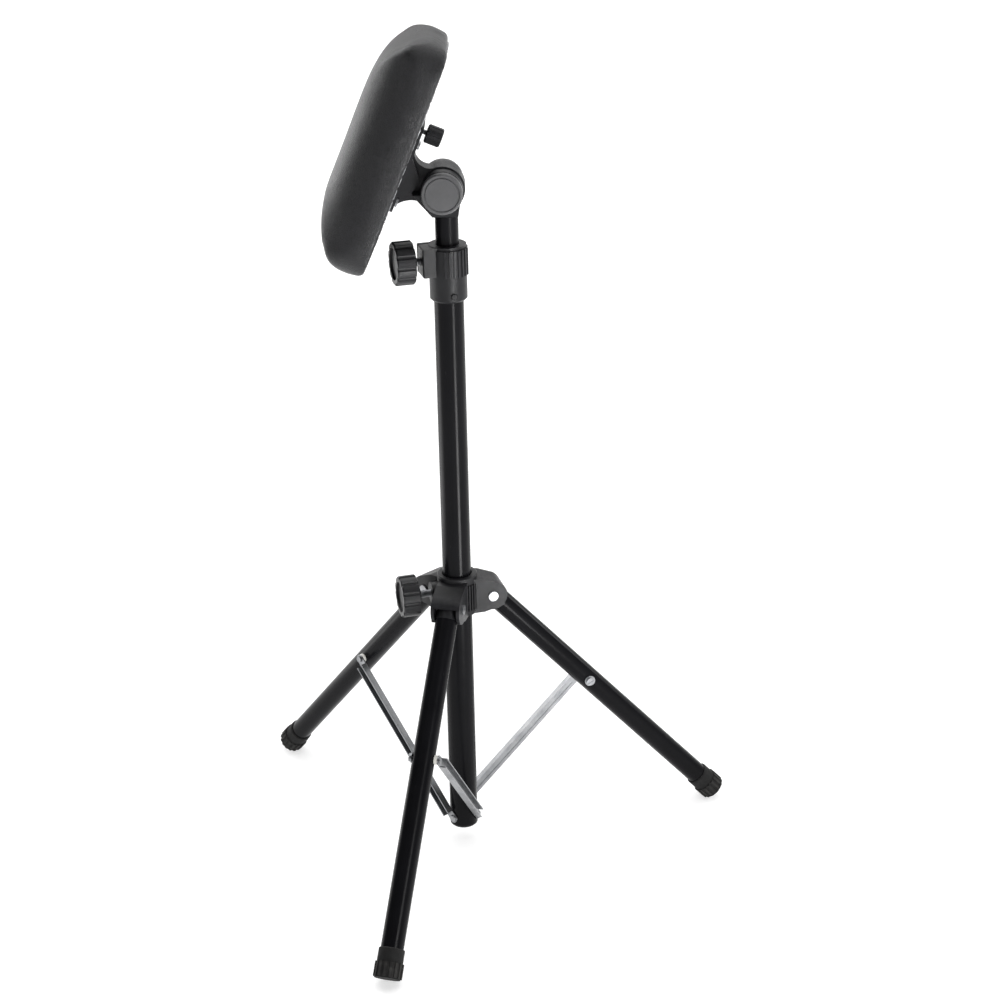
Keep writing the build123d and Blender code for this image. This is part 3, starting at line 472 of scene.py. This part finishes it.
def add_staple(vertices, faces, along, across, turn, below):
    """One staple: a low arched wire with its two legs in the board."""
    half, wire, sides = 4.8 * MM, 0.45 * MM, 8
    leg, shoulder, crown = 1.2 * MM, 0.2 * MM, -0.1 * MM
    path = [(-half, leg), (-half, shoulder), (-half * 0.9, crown)]
    path += [(half * 0.9, crown), (half, shoulder), (half, leg)]
    first = len(vertices)
    for place, height in path:
        for k in range(sides):
            angle = 2 * math.pi * k / sides
            local = Vector((place + wire * 0.3 * math.cos(angle), wire * math.cos(angle)))
            x = along + local.x * math.cos(turn) - local.y * math.sin(turn)
            y = across + local.x * math.sin(turn) + local.y * math.cos(turn)
            vertices.append(pad_point(x, y, below + height + wire * math.sin(angle)))
    for row in range(len(path) - 1):
        for k in range(sides):
            a = first + row * sides + k
            b = first + row * sides + (k + 1) % sides
            faces.append((a, b, b + sides, a + sides))
    faces.append(tuple(first + k for k in reversed(range(sides))))
    last = first + (len(path) - 1) * sides
    faces.append(tuple(last + k for k in range(sides)))


# ---------------------------------------------------------------- threads
def thread(name, node, body, axis, radius, pitch):
    """A screw thread that stands for a plain CAD stud: a helical groove on a rod."""
    axis = Vector(axis).normalized()
    corners = [Vector(v.co) for v in frame["nodes"][node].data.vertices]
    middle = sum(corners, Vector()) / len(corners)
    heights = [(c - middle).dot(axis) for c in corners]
    low, high = min(heights), max(heights)
    side = axis.orthogonal().normalized()
    other = axis.cross(side)
    around, per_turn = 40, 10
    rows = int((high - low) / pitch * per_turn)
    depth = 0.55 * pitch
    vertices, faces = [], []
    for row in range(rows + 1):
        height = low + (high - low) * row / rows
        fade = min(1.0, row / per_turn, (rows - row) / per_turn)
        for k in range(around):
            angle = 2 * math.pi * k / around
            phase = (height / pitch - k / around) % 1.0
            cut = depth * max(0.0, abs(2 * phase - 1) * 1.25 - 0.15)
            end = 0.0006 * max(0.0, 1 - row * 2 / per_turn)
            r = radius - min(cut, depth) * fade - end
            vertices.append(middle + axis * height + (side * math.cos(angle) + other * math.sin(angle)) * r)
    for row in range(rows):
        for k in range(around):
            a = row * around + k
            b = row * around + (k + 1) % around
            faces.append((a, b, b + around, a + around))
    faces.append(tuple(reversed(range(around))))
    faces.append(tuple(rows * around + k for k in range(around)))
    piece = add_mesh(name, vertices, faces, MATERIALS["zinc_steel"])
    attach(piece, body)
    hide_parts(node)


# ---------------------------------------------------------------- floor, light and camera
def floor():
    """Plain white floor that fills the picture."""
    m = Nodes("studio_floor")
    m.link(m.ramp(m.noise(2, 2), [(0.3, grey(0.56)), (0.7, grey(0.58))]), m.shader.inputs["Base Color"])
    m.link(m.remap(m.noise(8, 2), 0.9, 0.95), m.shader.inputs["Roughness"])
    m.set(Specular_IOR_Level=0.1, Emission_Color=(1, 1, 1, 1), Emission_Strength=0.62)
    size = 60.0
    corners = [(-size, -size, 0), (size, -size, 0), (size, size, 0), (-size, size, 0)]
    piece = add_mesh("studio_floor", corners, [(0, 1, 2, 3)], m.material)


def area_light(name, place, target, size, power):
    """A soft box at a place, aimed at a target."""
    data = bpy.data.lights.new(name, "AREA")
    data.shape = "RECTANGLE"
    data.size, data.size_y = size
    data.energy = power
    lamp = bpy.data.objects.new(name, data)
    lamp.location = place
    lamp.rotation_euler = (Vector(target) - Vector(place)).to_track_quat("-Z", "Y").to_euler()
    lamp.visible_camera = False
    bpy.context.scene.collection.objects.link(lamp)


def low_strip(name, azimuth, near, far, width, power):
    """A light lying on the floor outside the picture, seen only in the tubes' reflections."""
    way = Vector((math.sin(math.radians(azimuth)), -math.cos(math.radians(azimuth)), 0))
    place = way * (near + far) / 2 + Vector((0, 0, 0.012))
    data = bpy.data.lights.new(name, "AREA")
    data.shape = "RECTANGLE"
    data.size, data.size_y = width, far - near
    data.energy = power
    lamp = bpy.data.objects.new(name, data)
    side = way.cross(Vector((0, 0, 1)))
    turn = Matrix((side, -way, Vector((0, 0, -1)))).transposed()
    lamp.matrix_world = Matrix.Translation(place) @ turn.to_4x4()
    lamp.visible_camera = False
    bpy.context.scene.collection.objects.link(lamp)


def studio():
    """White surroundings with soft boxes: left and behind, right front, and overhead."""
    world = bpy.data.worlds.new("studio")
    world.use_nodes = True
    tree = world.node_tree
    tree.nodes["Background"].inputs["Color"].default_value = (1, 1, 1, 1)
    height = tree.nodes.new("ShaderNodeSeparateXYZ")
    tree.links.new(tree.nodes.new("ShaderNodeTexCoord").outputs["Generated"], height.inputs[0])
    level = tree.nodes.new("ShaderNodeMapRange")
    level.inputs["From Min"].default_value = 0.05
    level.inputs["From Max"].default_value = 0.2
    level.inputs["To Min"].default_value = 0.85
    level.inputs["To Max"].default_value = 0.06
    tree.links.new(height.outputs["Z"], level.inputs["Value"])
    tree.links.new(level.outputs["Result"], tree.nodes["Background"].inputs["Strength"])
    bpy.context.scene.world = world
    bpy.context.scene.view_settings.view_transform = "Standard"
    target = (0, 0, 0.45)
    area_light("left_back", (-1.7, 1.9, 1.3), target, (0.9, 1.8), 19)
    area_light("right_front", (1.6, -2.0, 1.0), target, (0.5, 1.6), 26)
    area_light("right_back", (2.4, 1.2, 1.4), target, (1.0, 1.6), 22)
    area_light("top", (0, 1.0, 3.8), (0, 1.0, 0), (5.0, 5.0), 150)
    area_light("far", (0, 5.5, 3.6), (0, 5.5, 0), (9.0, 5.0), 300)
    low_strip("strip_right", 34, 0.62, 2.2, 0.2, 28)
    low_strip("strip_left", -105, 0.75, 2.2, 0.7, 9)


def camera():
    """Camera at the viewing angle of the reference: a long lens looking down from the front."""
    pitch, roll = math.radians(22.97), math.radians(-1.19)
    target = Vector((0, 0, 0.459))
    across, up, away = 0.04467, -0.07141, 2.178
    forward = Vector((0, math.cos(pitch), -math.sin(pitch)))
    right = Vector((1, 0, 0))
    above = Vector((0, math.sin(pitch), math.cos(pitch)))
    data = bpy.data.cameras.new("camera")
    data.sensor_width = 36
    data.lens = 80.48
    eye = bpy.data.objects.new("camera", data)
    place = target + right * across + above * up - forward * away
    x_axis = right * math.cos(roll) + above * math.sin(roll)
    y_axis = above * math.cos(roll) - right * math.sin(roll)
    turn = Matrix((x_axis, y_axis, -forward)).transposed()
    eye.matrix_world = Matrix.Translation(place) @ turn.to_4x4()
    bpy.context.scene.collection.objects.link(eye)
    bpy.context.scene.camera = eye


def main():
    dress_cad_nodes()
    pad_cover()
    staples()
    knob_axis = joint("collar_knob_turn")["axis"]
    thread("collar_stud_thread", "collar_knob_stud", "collar_knob", knob_axis, 3.85 * MM, 1.25 * MM)
    thread("hub_stud_thread", "hub_knob_stud", "hub_knob", knob_axis, 3.85 * MM, 1.25 * MM)
    thread("pad_screw_thread", "pad_knob_screw", "pad_knob", PAD_OUT, 2.45 * MM, 0.8 * MM)
    floor()
    studio()
    camera()


main()
